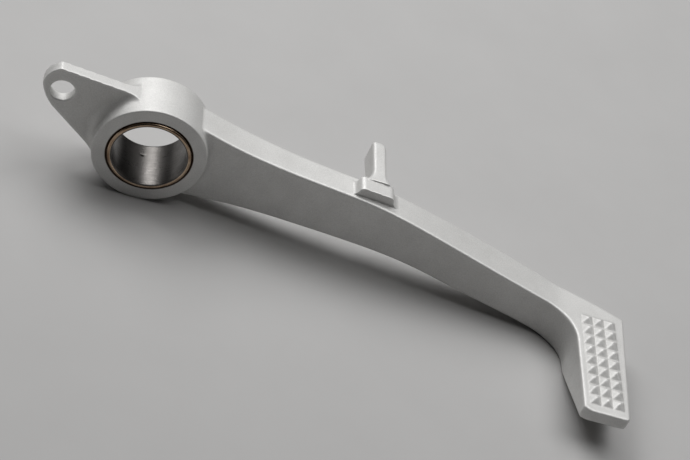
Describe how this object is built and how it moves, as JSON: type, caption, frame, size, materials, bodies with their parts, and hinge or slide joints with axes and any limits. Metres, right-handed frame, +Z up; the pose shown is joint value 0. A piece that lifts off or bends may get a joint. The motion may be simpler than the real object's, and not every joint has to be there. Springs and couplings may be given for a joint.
{
  "type": "brake pedal",
  "caption": "Motorcycle rear brake pedal lever with a bushed pivot eye, a pushrod lug, a stop tab and a studded side tread.",
  "frame": {"origin": "on the axis of the pivot bore, half way along the width of the eye", "axes": "+X forward along the arm to the tread, +Y inboard along the pivot axis towards the motorcycle's frame, +Z up"},
  "size_m": [0.2135, 0.0826, 0.0383],
  "materials": {
    "casting": "satin",
    "bush_metal": "satin",
    "bush_liner": "matte"
  },
  "bodies": {
    "root": {"pedal_lever": "casting", "bush_backing": "bush_metal", "bush_lining": "bush_liner"}
  },
  "joints": []
}
